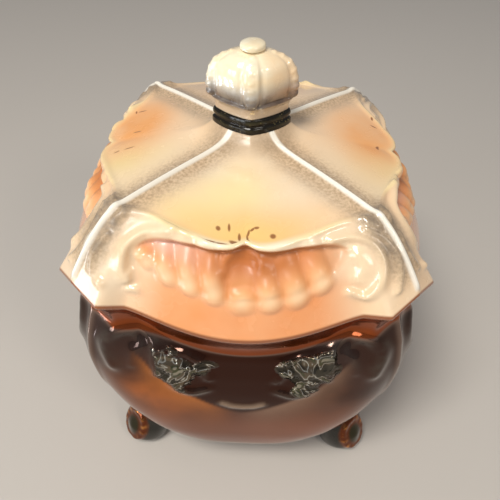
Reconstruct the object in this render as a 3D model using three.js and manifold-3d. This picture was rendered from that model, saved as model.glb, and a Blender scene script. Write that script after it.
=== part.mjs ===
// Footed candy box: a square bombe bowl on four scroll feet, with a lift-off domed lid and a knob.
// Millimetres. +Z is up, the front side faces -Y, the origin is the middle of the footprint.
// One side is described once, from corner ridge to corner ridge, and turned four times.
import * as THREE from 'three';
import Module from 'manifold-3d';

const wasm = await Module();
wasm.setup();

// Sizes across, from the lid's edge inwards
const rimSideHalf = 66.5; // half of the width over the lid's edge, at the middle of a side
const rimTipInset = 4.7; // from there in to the two tips of a clipped corner
const rimCornerInset = 11.9; // and in to the middle of a clipped corner, x and y alike
const apronSideReach = 14.5; // from the roof's edge out to the lid's edge, in the middle
const apronCornerReach = 14.1; // and on the corner ridge
const bowlSideInset = 1.3; // widest part of the bowl inside the lid's edge
const bowlCornerOutset = 0.9; // and how far it stands out from it on the corner ridge
const plinthHalf = 13.8; // knob plinth, out to its left and right corners
const plinthDepthHalf = 10; // and out to its front and back corners
const budHalf = 15.7;
const budDepthHalf = 11.2;
const buttonHalf = 4.5;

// Heights above the table
const bowlRimHeight = 105.8; // at the tips
const lidEdgeThickness = 2.2;
const lipRise = 22.7; // from the lid's edge up to the roof's edge
const roofRise = 3.6;
const collarRise = 4.4; // the roof's flare up to the knob plinth
const roofSag = 4; // how much lower the roof's edge is at the middle of a side
const plinthThickness = 5.1;
const neckHeight = 5;
const budHeight = 15.4;
const buttonHeight = 2.7;
const bowlLift = 8; // underside of the bowl above the table

// The wave of the edge, shared by lid and bowl
const rimCornerLift = 3.4;
const rimSideDip = 8.6;
const coveDepth = 3; // how far the edge steps back and down beside a tip
const tipShare = 0.84;
const coveShare = 0.68;
const bracketShare = 0.7;
const bracketPower = 1.3;
const plinthPower = 1.4;
const roofRoundPower = 1.5; // how fast the roof's edge falls back from the middle of a side
const lidRoundPower = 5;
const bowlTopRoundPower = 6;
const bowlBaseRoundPower = 2.3;

// Walls and reliefs
const lidWall = 5.5;
const collarReach = 3; // how far out the roof's flare fades
const bowlWall = 4.3;
const bowlFloorThickness = 4.5;
const flangeThickness = 3;
const flangeDepth = 6;
const ridgeHeight = 0.7;
const lipBeadHeight = 0.5;
const recessTopDepth = 3.4; // the sunk shell under the lip
const recessFootDepth = 1.7;
const fluteHeight = 2.1;
const notchDepth = 1.6;
const lipSwell = 1.7;

// Feet, with distances measured along the diagonal
const footInset = 14.4; // from the lid's clipped corner in to the middle of a foot
const footLength = 10;
const footWidth = 10.2;
const footHeight = 27;

// Fits and how finely curves are cut
const clearance = 0.3;
const flangePlay = 0.4; // between the flange and the narrowest part of the bowl's mouth
const footSides = 20;
const budSides = 48;
const buttonSides = 20;

// Sizes and heights that follow from those above
const rimTipHalf = rimSideHalf - rimTipInset;
const rimCornerHalf = rimSideHalf - rimCornerInset;
const lipSideHalf = rimSideHalf - apronSideReach;
const lipCornerHalf = rimCornerHalf - apronCornerReach;
const bowlSideHalf = rimSideHalf - bowlSideInset;
const bowlCornerHalf = rimCornerHalf + bowlCornerOutset;
const footReach = rimCornerHalf * Math.SQRT2 - footInset;
const lidRimHeight = bowlRimHeight + clearance + lidEdgeThickness;
const lipHeight = lidRimHeight + lipRise;
const apexHeight = lipHeight + roofRise + collarRise;
const ceilingHeight = lipHeight + roofRise - lidWall; // inside of the lid, in the middle

// Columns across a side, as shares of the way from its middle to a corner ridge. The lid's
// stand on and between the flutes of its shell, which aren't the same left and right.
const lidColumnShares = [
  -1, -0.97, -0.93, -0.89, -tipShare, -0.8, -0.76, -0.72, -0.675, -0.63, -0.56, -0.523, -0.487,
  -0.45, -0.415, -0.38, -0.344, -0.305, -0.265, -0.226, -0.186, -0.143, -0.1, -0.055, -0.009,
  0.036, 0.08, 0.1225, 0.165, 0.2075, 0.25, 0.29, 0.332, 0.37, 0.41, 0.45, 0.487, 0.53, 0.58,
  0.64, 0.7, 0.75, 0.8, tipShare, 0.89, 0.93, 0.97,
];
const bowlHalfShares = [
  0.1, 0.18, 0.24, 0.3, 0.36, 0.42, 0.48, 0.54, 0.6, 0.66, 0.72, 0.78, tipShare, 0.9, 0.96,
];
const bowlColumnShares = [
  -1, ...bowlHalfShares.toReversed().map((share) => -share), 0, ...bowlHalfShares,
];

// Rows of the roof and of the apron under it, as shares of the way down each
const roofRowShares = [0, 0.06, 0.12, 0.18, 0.27, 0.45, 0.68, 0.86, 0.965];
const apronRowShares = [
  0, 0.035, 0.1, 0.18, 0.26, 0.35, 0.44, 0.53, 0.61, 0.69, 0.76, 0.84, 0.92, 1,
];

// Profile rows: corner, side and height as shares of the edge's own, and how much of its wave
const bowlOuterShares = [
  [0.541, 0.66, 0.076, 0],
  [0.595, 0.736, 0.085, 0],
  [0.667, 0.839, 0.113, 0],
  [0.748, 0.923, 0.17, 0],
  [0.82, 0.972, 0.246, 0],
  [0.888, 0.994, 0.34, 0],
  [0.951, 1, 0.454, 0],
  [0.98, 0.999, 0.53, 0.01],
  [0.989, 0.997, 0.567, 0.02],
  [0.994, 0.994, 0.6, 0.036],
  [0.997, 0.989, 0.63, 0.061],
  [0.999, 0.983, 0.66, 0.094],
  [1, 0.977, 0.69, 0.133],
  [0.996, 0.971, 0.72, 0.188],
  [0.989, 0.963, 0.75, 0.262],
  [0.981, 0.957, 0.78, 0.353],
  [0.971, 0.951, 0.81, 0.479],
  [0.952, 0.945, 0.84, 0.704],
  [0.935, 0.941, 0.87, 0.92],
  [0.928, 0.939, 0.896, 1],
  [0.935, 0.96, 0.95, 1],
  [0.966, 1.002, 1, 1],
];
// The hollow follows the outside, further in by so many shares of the wall
const bowlInnerShares = [
  [0.978, 1.002, 1, 1, 1],
  [0.935, 0.939, 0.907, 1, 0.93],
  [0.985, 0.96, 0.756, 0.3, 0.95],
  [0.989, 0.997, 0.567, 0, 1],
  [0.9, 0.994, 0.359, 0, 0.95],
  [0.8, 0.965, 0.227, 0, 0.9],
  [0.717, 0.894, 0.147, 0, 1.5],
];
const bowlBottomShares = [0.68, 0.85, 2.4];
// Inside of the lid: shares of the flange's own hollow and of the height inside, down to the seat
const lidInnerShares = [
  [0.285, 0.284, 0.991, 0],
  [0.57, 0.556, 0.95, 0],
  [0.792, 0.779, 0.86, 0],
  [0.885, 0.884, 0.61, 0.3],
  [0.941, 0.939, 0.35, 0.6],
  [0.987, 0.986, 0.125, 0.8],
  [1, 1, 0, 1],
];

// The flange stands just inside the narrowest part of the bowl's mouth
const mouthShares = bowlInnerShares[1];
const mouthInset = bowlWall * mouthShares[4] + flangePlay;
const flangeCornerHalf = bowlCornerHalf * mouthShares[0] - mouthInset;
const flangeSideHalf = bowlSideHalf * mouthShares[1] - mouthInset;

// Small mathematics
const mix = (a, b, share) => a + (b - a) * share;
const smooth = (low, high, value) => {
  const share = Math.min(1, Math.max(0, (value - low) / (high - low)));
  return share * share * (3 - 2 * share);
};
const bump = (value, middle, width) => Math.exp(-(((value - middle) / width) ** 2));

// How far the edge has bulged at a place across the side: 1 in the middle, 0 near the corners
const bracket = (across) => Math.max(0, 1 - (across / bracketShare) ** 2) ** bracketPower;

// How far the clipped corner has run out to its tip: 0 on the ridge, 1 from the tip inwards
const clip = (across) => Math.min(1, (1 - Math.abs(across)) / (1 - tipShare));

// How far the edge has stepped back beside a tip
const cove = (across) => 1 - smooth(coveShare, tipShare, Math.abs(across));

// The wave of the edge in height
function wave(across) {
  const stepped = coveDepth * cove(across);
  return rimCornerLift * (1 - clip(across)) - mix(stepped, rimSideDip, bracket(across));
}

// A point of a bowl-like ring, in the frame of the front side: x across, y outwards
function ringPoint(across, corner, side, height, waveShare, roundPower) {
  const tip = mix(corner, side, (rimTipHalf - rimCornerHalf) / (rimSideHalf - rimCornerHalf));
  const stepped = mix(corner, tip, clip(across)) - coveDepth * cove(across);
  const sharp = mix(stepped, side, bracket(across));
  const round = mix(corner, side, 1 - Math.abs(across) ** roundPower);
  return [across * corner, mix(round, sharp, waveShare), height + waveShare * wave(across)];
}

// The direction that faces away from the side, square to the ridge at its two ends
function outward(across, climb) {
  const sideways = Math.sign(across) * Math.abs(across) ** 3;
  const length = Math.hypot(sideways, 1);
  const level = Math.cos(climb);
  return [(sideways / length) * level, level / length, Math.sin(climb)];
}

function pushed(point, direction, amount) {
  return point.map((value, axis) => value + direction[axis] * amount);
}

// Turns a point of the front side's frame to side number 0 to 3
function turned([x, y, z], side) {
  const turns = [[x, -y], [y, x], [-x, y], [-y, -x]];
  return new THREE.Vector3(...turns[side], z);
}

// Every place across the four sides, ridge to ridge
function places(columnShares) {
  return [0, 1, 2, 3].flatMap((side) => columnShares.map((share) => ({ side, share })));
}

function ringOf(columnShares, pointAt) {
  return places(columnShares).map(({ side, share }) => turned(pointAt(share, side), side));
}

// A closed body from stacked rings: ended by poles, or by joining the last ring to the first
function bodyFromRings(rings, firstPole, lastPole) {
  const count = rings[0].length;
  const points = rings.flat();
  const faces = [];
  const joined = firstPole ? rings.length - 1 : rings.length;
  for (let row = 0; row < joined; row += 1) {
    for (let i = 0; i < count; i += 1) {
      const next = (i + 1) % count;
      const above = ((row + 1) % rings.length) * count;
      faces.push([row * count + i, row * count + next, above + next]);
      faces.push([row * count + i, above + next, above + i]);
    }
  }
  if (firstPole) {
    const top = (rings.length - 1) * count;
    points.push(firstPole, lastPole);
    for (let i = 0; i < count; i += 1) {
      const next = (i + 1) % count;
      faces.push([points.length - 2, next, i]);
      faces.push([points.length - 1, top + i, top + next]);
    }
  }
  const geometry = new THREE.BufferGeometry();
  const flat = points.flatMap((point) => [point.x, point.y, point.z]);
  geometry.setAttribute('position', new THREE.Float32BufferAttribute(flat, 3));
  geometry.setIndex(faces.flat());
  return geometry;
}

function toSolid(geometry) {
  return new wasm.Manifold(new wasm.Mesh({
    numProp: 3,
    vertProperties: new Float32Array(geometry.attributes.position.array),
    triVerts: new Uint32Array(geometry.index.array),
  }));
}

function fromSolid(solid) {
  const mesh = solid.getMesh();
  const geometry = new THREE.BufferGeometry();
  geometry.setAttribute('position', new THREE.Float32BufferAttribute(mesh.vertProperties, 3));
  geometry.setIndex([...mesh.triVerts]);
  return geometry;
}

const pole = (height) => new THREE.Vector3(0, 0, height);

// Lid edge point
function lidEdge(across, down) {
  return ringPoint(across, rimCornerHalf, rimSideHalf, lidRimHeight - down, 1, lidRoundPower);
}

// The wavy outline of the roof's edge, pushed in at the middle and near the corners
function lipWave(across) {
  const away = Math.abs(across);
  const swell = bump(away, 0.2, 0.16) - 0.6 * bump(away, 0.72, 0.17);
  return lipSwell * swell - notchDepth * bump(away, 0, 0.06);
}

// How far up the flare round the knob plinth stands: 1 under the plinth, fading outside it
function collar(x, y) {
  const wide = Math.abs(x / plinthHalf) ** plinthPower;
  const deep = Math.abs(y / plinthDepthHalf) ** plinthPower;
  const gap = Math.max(0, (wide + deep) ** (1 / plinthPower) - 1) * plinthDepthHalf;
  return Math.exp(-gap / collarReach);
}

// The gently domed roof, from under the plinth out to the lip
const roofStartShare = 0.65;

function roofPoint(across, down, side) {
  const start = plinthDepthHalf * roofStartShare;
  const x = across * mix(start, lipCornerHalf, down);
  const lipY = mix(lipCornerHalf, lipSideHalf, (1 - across ** 2) ** roofRoundPower);
  const y = mix(start, lipY, down) + lipWave(across) * down ** 4;
  const dome = roofRise * (1 - (Math.hypot(x, y) / (lipCornerHalf * Math.SQRT2)) ** 2.2);
  const sag = roofSag * (1 - across ** 2) ** 1.5 * down ** 2;
  const flare = side % 2 === 0 ? collar(x, y) : collar(y, x);
  return [x, y, mix(lipHeight + dome - sag, apexHeight, flare)];
}

// The apron between lip and edge, plain: nearly straight in the middle, full at its corners
function apronPoint(across, down, side) {
  const middle = 1 - smooth(0.62, 1, Math.abs(across));
  const out = down ** mix(0.68, 0.85, middle);
  const lip = roofPoint(across, 1, side);
  const edge = lidEdge(across, 0);
  return [mix(lip[0], edge[0], out), mix(lip[1], edge[1], out), mix(lip[2], edge[2], down)];
}

// How far a place is from a path of points, and the share of the way along it
function pathNear([x, y], path) {
  let near = { gap: Infinity, share: 0 };
  path.slice(1).forEach(([endX, endY], i) => {
    const [startX, startY] = path[i];
    const [legX, legY] = [endX - startX, endY - startY];
    const along = ((x - startX) * legX + (y - startY) * legY) / (legX ** 2 + legY ** 2);
    const share = Math.min(1, Math.max(0, along));
    const gap = Math.hypot(x - startX - share * legX, y - startY - share * legY);
    if (gap < near.gap) near = { gap, share: (i + share) / (path.length - 1) };
  });
  return near;
}

// Flutes of the shell, from head to foot: places across and down the apron, and the radius
const flutes = [
  [[-0.7, 0.3], [-0.63, 0.4], 3.3],
  [[-0.6, 0.17], [-0.487, 0.475], 3.4],
  [[-0.455, 0.08], [-0.344, 0.475], 3.7],
  [[-0.29, 0.08], [-0.186, 0.49], 4],
  [[-0.013, 0.4], [-0.009, 0.565], 4.5],
  [[0.146, 0.27], [0.165, 0.54], 4.4],
  [[0.31, 0.2], [0.332, 0.55], 4.3],
  [[0.466, 0.15], [0.487, 0.49], 4],
];

// Scrolls beside the shell and the arch over its middle: path, half width and height
const scrolls = [
  [[[-0.53, 0.03], [-0.63, 0.088], [-0.742, 0.19], [-0.792, 0.32], [-0.785, 0.48],
    [-0.75, 0.63]], 2.9, 2.1],
  [[[-0.74, 0.61], [-0.726, 0.65]], 3.6, 2.3],
  [[[-0.69, 0.76], [-0.66, 0.755]], 2.6, 1.6],
  [[[-0.923, 0.067], [-0.911, 0.05]], 2.8, 1.3],
  [[[0.6, 0.11], [0.7, 0.13], [0.79, 0.155], [0.857, 0.23], [0.872, 0.425], [0.822, 0.625],
    [0.73, 0.772], [0.646, 0.69]], 2.3, 1.6],
  [[[0.745, 0.325], [0.76, 0.445], [0.715, 0.56]], 4.2, 1.5],
  [[[0.876, 0.046], [0.923, 0.067]], 2.8, 1.4],
  [[[0.107, 0.17], [0.066, 0.1], [-0.013, 0.085], [-0.09, 0.1], [-0.137, 0.16], [-0.146, 0.26]],
    3.2, 1],
];

// Millimetres to a share across and to a share down the apron
const acrossReach = (lipCornerHalf + rimTipHalf) / 2;
const downReach = Math.hypot(lipRise + rimSideDip - roofSag, apronSideReach);
const onApron = ([across, down]) => [across * acrossReach, down * downReach];

// Everything raised or sunk on the apron, in millimetres outwards
function apronRelief(across, down) {
  const away = Math.abs(across);
  const here = onApron([across, down]);
  const foot = 0.62 - (across > 0 ? 1.3 * away ** 4 : 0.5 * away ** 2);
  const top = 0.015 + 0.3 * away ** 2 + 0.25 * (away / 0.8) ** 10;
  const sunk = smooth(0, 0.05, down - top) * (1 - smooth(-0.12, 0.02, down - foot))
    * (1 - smooth(0.72, 0.79, away));
  const depth = mix(recessTopDepth, recessFootDepth, Math.min(1, down / Math.max(foot, 0.1)));
  const ribs = flutes.map(([head, toe, radius]) => {
    const { gap, share } = pathNear(here, [onApron(head), onApron(toe)]);
    return Math.sqrt(Math.max(0, 1 - (gap / radius) ** 2)) * mix(0.45, 1, smooth(0, 0.7, share));
  });
  const rib = Math.max(...ribs);
  const carved = Math.max(...scrolls.map(([path, halfWidth, height]) => {
    return height * bump(pathNear(here, path.map(onApron)).gap, 0, 0.62 * halfWidth);
  }));
  return lipBeadHeight * bump(down, 0, 0.03)
    - depth * sunk * (1 - 0.1 * rib)
    + fluteHeight * rib
    + carved * (1 - 0.8 * rib);
}

const ridge = (across) => ridgeHeight * bump(Math.abs(across), 1, 0.02);

function lidOuterRings() {
  const apron = apronRowShares.toReversed().map((down) => ringOf(lidColumnShares, (across, side) => {
    const relief = apronRelief(across, down) * (1 - smooth(0.93, 1, down));
    const climb = mix(Math.PI / 4, Math.PI / 12, smooth(0, 0.1, down));
    const raised = relief + ridge(across) * (1 - smooth(0.9, 1, down));
    return pushed(apronPoint(across, down, side), outward(across, climb), raised);
  }));
  const roof = roofRowShares.toReversed().map((down) => ringOf(lidColumnShares, (across, side) => {
    const raised = ridge(across) * smooth(0.06, 0.3, down) + lipBeadHeight * bump(down, 1, 0.03);
    return pushed(roofPoint(across, down, side), outward(across, Math.PI / 2), raised);
  }));
  return [...apron, ...roof];
}

function lidInnerRings() {
  const seat = lidRimHeight - lidEdgeThickness;
  const rise = ceilingHeight - seat;
  return lidInnerShares.map(([corner, side, height, waveShare]) => ringOf(
    lidColumnShares,
    (across) => ringPoint(
      across,
      corner * (flangeCornerHalf - flangeThickness),
      side * (flangeSideHalf - flangeThickness),
      seat + height * rise,
      waveShare,
      lidRoundPower,
    ),
  ));
}

function lidShell() {
  const seat = ringOf(lidColumnShares, (across) => lidEdge(across, lidEdgeThickness));
  const rings = [...lidInnerRings(), seat, ...lidOuterRings()];
  return bodyFromRings(rings, pole(ceilingHeight), pole(apexHeight));
}

// The rim under the lid that drops into the bowl's mouth
function lidFlange() {
  const top = lidRimHeight - lidEdgeThickness - clearance;
  const ring = (inset, down) => ringOf(bowlColumnShares, (across) => ringPoint(
    across,
    flangeCornerHalf - inset,
    flangeSideHalf - inset,
    top - down,
    1,
    lidRoundPower,
  ));
  return bodyFromRings([
    ring(0, flangeDepth),
    ring(0, 0),
    ring(flangeThickness, 0),
    ring(flangeThickness, flangeDepth),
  ]);
}

// Raised scroll and leaf on each half of a bowl side: places across and up in shares of the
// bowl's half width and height, half width and height of the relief
const bowlScrolls = [
  [[[0.821, 0.718], [0.875, 0.784], [0.839, 0.851], [0.732, 0.879], [0.625, 0.87], [0.563, 0.822],
    [0.554, 0.766], [0.536, 0.709]], 2.6, 1.5],
  [[[0.705, 0.733], [0.696, 0.78], [0.652, 0.822], [0.732, 0.86]], 1.7, 0.9],
  [[[0.536, 0.851], [0.464, 0.813], [0.375, 0.832], [0.286, 0.794]], 2.3, 1],
  [[[0.5, 0.756], [0.411, 0.718], [0.446, 0.662], [0.339, 0.624], [0.232, 0.643]], 2.4, 1.2],
  [[[0.375, 0.756], [0.268, 0.737], [0.214, 0.699]], 2, 1],
];

function bowlScroll(across, height) {
  const onBowl = ([x, z]) => [x * bowlCornerHalf, z * bowlRimHeight];
  const here = [Math.abs(across) * bowlCornerHalf, height];
  return bowlScrolls.reduce((sum, [path, halfWidth, raised]) => {
    const { gap, share } = pathNear(here, path.map(onBowl));
    return sum + raised * bump(gap, 0, halfWidth * (1.15 - 0.5 * share));
  }, 0);
}

function bowlPoint(across, corner, side, height, waveShare) {
  const round = smooth(0.05, 0.5, height / bowlRimHeight);
  const power = mix(bowlBaseRoundPower, bowlTopRoundPower, round);
  return ringPoint(across, corner, side, height, waveShare, power);
}

function bowlOuterRing([corner, side, heightShare, waveShare], grow) {
  const height = heightShare * bowlRimHeight;
  return ringOf(bowlColumnShares, (across) => pushed(
    bowlPoint(across, corner * bowlCornerHalf, side * bowlSideHalf, height, waveShare),
    outward(across, 0),
    grow + bowlScroll(across, height) + ridge(across) * (1 - waveShare),
  ));
}

function bowlInnerRing(corner, side, height, waveShare, wallShare) {
  const wall = wallShare * bowlWall;
  return ringOf(bowlColumnShares, (across) => bowlPoint(
    across,
    corner * bowlCornerHalf - wall,
    side * bowlSideHalf - wall,
    height,
    waveShare,
  ));
}

function bowlShell() {
  const floor = bowlLift + bowlFloorThickness;
  const [corner, side, wallShare] = bowlBottomShares;
  return bodyFromRings(
    [
      ...bowlOuterShares.map((row) => bowlOuterRing(row, 0)),
      ...bowlInnerShares.map(([a, b, height, ...rest]) => {
        return bowlInnerRing(a, b, height * bowlRimHeight, ...rest);
      }),
      bowlInnerRing(corner, side, floor, 0, wallShare),
    ],
    pole(bowlLift),
    pole(floor),
  );
}

// The bowl as a full block, grown by the clearance, to cut the feet to fit under it
function bowlBlock() {
  const rows = bowlOuterShares.filter(([, , height]) => height < 0.6);
  const rings = rows.map((row) => bowlOuterRing(row, clearance));
  rings.forEach((ring) => ring.forEach((point) => point.setZ(point.z - clearance)));
  return toSolid(bodyFromRings(
    rings,
    pole(bowlLift - clearance),
    pole(bowlRimHeight * rows.at(-1)[2]),
  ));
}

// Scroll foot: stacked ovals as shares of its reach, length, width and height
const footOvalShares = [
  [0.975, 0.72, 0.7, 0],
  [0.985, 0.9, 0.86, 0.055],
  [1, 1, 0.96, 0.2],
  [0.99, 0.97, 1, 0.38],
  [0.965, 0.88, 1, 0.56],
  [0.94, 0.76, 0.92, 0.75],
  [0.92, 0.55, 0.7, 0.93],
  [0.915, 0.3, 0.4, 1],
];

function foot(diagonal, block) {
  const along = new THREE.Vector2(Math.cos(diagonal), Math.sin(diagonal));
  const rings = footOvalShares.map(([reach, length, width, height]) => {
    return Array.from({ length: footSides }, (_, i) => {
      const angle = diagonal + (i / footSides) * Math.PI * 2;
      const far = reach * footReach + length * footLength * Math.cos(angle - diagonal);
      const off = width * footWidth * Math.sin(angle - diagonal);
      return new THREE.Vector3(
        along.x * far - along.y * off,
        along.y * far + along.x * off,
        height * footHeight,
      );
    });
  });
  const middle = (row) => {
    const reach = footOvalShares.at(row)[0] * footReach;
    return new THREE.Vector3(along.x * reach, along.y * reach, footOvalShares.at(row)[3] * footHeight);
  };
  const lug = toSolid(bodyFromRings(rings, middle(0), middle(-1)));
  return fromSolid(lug.subtract(block));
}

// A level ring of the knob: four-sided with its corners on the axes, rounder as the power
// grows, and with a beaded rib between two grooves on each corner
const ribShare = 0.05;
const ribWidthShare = 0.2;
const grooveShare = 0.03;

function knobRing([half, depthHalf], height, power, bead) {
  return Array.from({ length: budSides }, (_, i) => {
    const angle = (i / budSides) * Math.PI * 2;
    const square = Math.abs(Math.cos(angle)) ** power + Math.abs(Math.sin(angle)) ** power;
    const away = Math.acos(Math.abs(Math.cos(2 * angle))) / (Math.PI / 2);
    const rib = ribShare * bead * bump(away, 0, ribWidthShare);
    const groove = grooveShare * bump(away, 2 * ribWidthShare, ribWidthShare / 2);
    const swell = bead > 0 ? (1 + rib - groove) / (1 + ribShare) : 1;
    const reach = swell * square ** (-1 / power);
    return new THREE.Vector3(
      half * reach * Math.cos(angle),
      depthHalf * reach * Math.sin(angle),
      height,
    );
  });
}

// Knob plinth, with a groove round its middle
const plinthRowShares = [[1, 0], [1, 0.34], [0.93, 0.46], [0.93, 0.56], [0.98, 0.66], [0.95, 1]];

function knobPlinth() {
  const rings = plinthRowShares.map(([width, height]) => knobRing(
    [width * plinthHalf, width * plinthDepthHalf],
    apexHeight + height * plinthThickness,
    plinthPower,
    0,
  ));
  return bodyFromRings(rings, pole(apexHeight), pole(apexHeight + plinthThickness));
}

// Knob bud on its hollow neck: neck rows as shares of the plinth's half widths and the neck's
// height, bud rows as shares of the bud's own, with the power of the section
const neckPower = 1.3;
const neckRowShares = [[0.93, 0], [0.92, 0.24], [0.94, 0.5], [1, 0.74], [1.06, 0.93]];
const budRowShares = [
  [0.96, 0, 1.14], [1, 0.06, 1.16], [0.985, 0.14, 1.22], [0.99, 0.22, 1.28],
  [0.97, 0.3, 1.34], [0.97, 0.38, 1.4], [0.94, 0.46, 1.46], [0.94, 0.54, 1.52],
  [0.9, 0.62, 1.58], [0.87, 0.7, 1.64], [0.8, 0.78, 1.7], [0.72, 0.85, 1.76],
  [0.6, 0.91, 1.82], [0.45, 0.96, 1.9], [0.26, 1, 2],
];

function knobBud() {
  const base = apexHeight + plinthThickness;
  const neck = neckRowShares.map(([width, height]) => knobRing(
    [width * plinthHalf, width * plinthDepthHalf],
    base + height * neckHeight,
    neckPower,
    0,
  ));
  const bud = budRowShares.map(([width, height, power], row) => knobRing(
    [width * budHalf, width * budDepthHalf],
    base + neckHeight + height * budHeight,
    power,
    row % 2 === 1 ? 1 : 0.35,
  ));
  return bodyFromRings([...neck, ...bud], pole(base), pole(base + neckHeight + budHeight));
}

// Knob button on top of the bud
const buttonRowShares = [[0.8, 0], [0.98, 0.2], [1, 0.45], [0.95, 0.7], [0.72, 0.92], [0.4, 1]];

function knobButton() {
  const base = apexHeight + plinthThickness + neckHeight + budHeight;
  const rings = buttonRowShares.map(([width, height]) => {
    return Array.from({ length: buttonSides }, (_, i) => {
      const angle = (i / buttonSides) * Math.PI * 2;
      return new THREE.Vector3(
        width * buttonHalf * Math.cos(angle),
        width * buttonHalf * Math.sin(angle),
        base + height * buttonHeight,
      );
    });
  });
  return bodyFromRings(rings, pole(base), pole(base + buttonHeight));
}

// Assembly
const group = new THREE.Group();

function addNode(name, geometry, colour) {
  const material = new THREE.MeshStandardMaterial({ color: colour, roughness: 0.2 });
  const mesh = new THREE.Mesh(geometry, material);
  mesh.name = name;
  group.add(mesh);
}

addNode('box_bowl', bowlShell(), 0x5c4a4c);
const block = bowlBlock();
addNode('foot_front_right', foot(-Math.PI / 4, block), 0x7a6a44);
addNode('foot_back_right', foot(Math.PI / 4, block), 0x7a6a44);
addNode('foot_back_left', foot((3 * Math.PI) / 4, block), 0x7a6a44);
addNode('foot_front_left', foot((-3 * Math.PI) / 4, block), 0x7a6a44);
addNode('lid_shell', lidShell(), 0xe8c8a0);
addNode('lid_flange', lidFlange(), 0xe6dccb);
addNode('knob_plinth', knobPlinth(), 0x2a2620);
addNode('knob_bud', knobBud(), 0xd8d0bd);
addNode('knob_button', knobButton(), 0xe4dcc8);

export default group;
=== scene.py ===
import math

import bmesh
import bpy
import numpy as np
from mathutils import Matrix, Vector


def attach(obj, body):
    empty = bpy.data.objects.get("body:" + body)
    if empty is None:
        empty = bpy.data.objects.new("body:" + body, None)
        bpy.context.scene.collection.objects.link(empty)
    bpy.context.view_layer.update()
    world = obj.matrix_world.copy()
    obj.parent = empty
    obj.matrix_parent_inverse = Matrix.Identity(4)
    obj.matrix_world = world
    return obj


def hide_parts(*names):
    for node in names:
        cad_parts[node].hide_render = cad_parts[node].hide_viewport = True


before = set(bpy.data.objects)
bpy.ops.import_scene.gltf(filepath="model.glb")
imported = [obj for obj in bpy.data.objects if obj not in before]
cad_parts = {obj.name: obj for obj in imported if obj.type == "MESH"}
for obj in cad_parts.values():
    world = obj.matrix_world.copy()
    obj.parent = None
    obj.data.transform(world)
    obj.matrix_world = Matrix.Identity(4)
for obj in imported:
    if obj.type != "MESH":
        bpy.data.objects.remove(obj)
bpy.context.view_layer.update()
scene = bpy.context.scene
scene.view_settings.view_transform = "Standard"

# View and studio
# The camera stands close above the front of the box, 28 cm away, so the lid looks large and the
# feet small. The box stands on a pale board, under a big soft lamp from the left and a weaker one
# from the right.
yaw, pitch, roll = (math.radians(angle) for angle in (-1.37, 43.9, -1.04))
forward = Vector((
    math.sin(yaw) * math.cos(pitch), math.cos(yaw) * math.cos(pitch), -math.sin(pitch)))
level = Vector((math.cos(yaw), -math.sin(yaw), 0.0))
below = forward.cross(level)
picture_right = level * math.cos(roll) + below * math.sin(roll)
picture_up = level * math.sin(roll) - below * math.cos(roll)
lens = bpy.data.cameras.new("camera")
film_width, picture_width, picture_distance = 36.0, 500, 520
lens.sensor_width = film_width
lens.lens = film_width * picture_distance / picture_width
lens.clip_start = 0.01
camera = bpy.data.objects.new("camera", lens)
camera.matrix_world = Matrix((picture_right, picture_up, -forward)).transposed().to_4x4()
camera.matrix_world.translation = Vector((0.00418, -0.1637, 0.2331))
scene.collection.objects.link(camera)
scene.camera = camera

board_mesh = bpy.data.meshes.new("board")
board_half = 3.0
board_mesh.from_pydata(
    [(x * board_half, y * board_half, 0) for x, y in ((-1, -1), (1, -1), (1, 1), (-1, 1))],
    [], [(0, 1, 2, 3)])
board = bpy.data.objects.new("board", board_mesh)
scene.collection.objects.link(board)
board_paint = bpy.data.materials.new("board_paint")
board_paint.use_nodes = True
board_shader = board_paint.node_tree.nodes["Principled BSDF"]
board_shader.inputs["Base Color"].default_value = (0.58, 0.54, 0.49, 1)
board_shader.inputs["Roughness"].default_value = 0.75
board_mesh.materials.append(board_paint)

world = bpy.data.worlds.new("studio")
world.use_nodes = True
world.node_tree.nodes["Background"].inputs["Color"].default_value = (0.95, 0.96, 1.0, 1)
world.node_tree.nodes["Background"].inputs["Strength"].default_value = 0.28
scene.world = world


def lamp(name, place, aim, width, height, power, colour, spread=180):
    light = bpy.data.lights.new(name, "AREA")
    light.shape = "RECTANGLE"
    light.size, light.size_y = width, height
    light.energy = power
    light.color = colour
    light.spread = math.radians(spread)
    held = bpy.data.objects.new(name, light)
    held.location = place
    held.rotation_euler = (Vector(aim) - Vector(place)).to_track_quat("-Z", "Y").to_euler()
    scene.collection.objects.link(held)


lamp("softbox", (-0.30, -0.42, 1.0), (0, 0, 0.1), 0.35, 0.30, 8.0, (1.0, 0.96, 0.90))
lamp("right_fill", (0.55, -0.60, 0.75), (0, 0, 0.1), 0.25, 0.20, 1.8, (1.0, 0.93, 0.84))
# three tall panels low at the left, which the bowl reflects, and a row of gleams for the knob
for pane in (-1, 0, 1):
    lamp("tall_panel", (-0.56 + 0.07 * pane, -0.44 - 0.09 * pane, 0.22), (0, 0, 0.1),
         0.09, 0.30, 0.045, (0.88, 0.94, 1.0), 50)
for slat in range(4):
    lamp("gleam", (-0.15, -0.085 + 0.034 * slat, 0.06), (0, 0, 0.155), 0.005, 0.10, 0.0022,
         (0.85, 0.92, 1.0), 30)

# Bowl
# Bombe-sided porcelain bowl, slip-cast in one piece with a raised scroll on each half side and
# a waved rim, then glazed in a dark brown pearl lustre with a red-brown band under the rim.
mm = 0.001
rim_side, rim_tip, rim_corner = 66.5, 61.8, 54.6
bowl_side, bowl_corner, bowl_rim, bowl_lift = 65.2, 55.5, 105.8, 8.0
corner_lift, side_dip, cove_depth = 3.4, 8.6, 3.0
bowl_wall, bowl_floor = 4.3, 4.5
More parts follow.
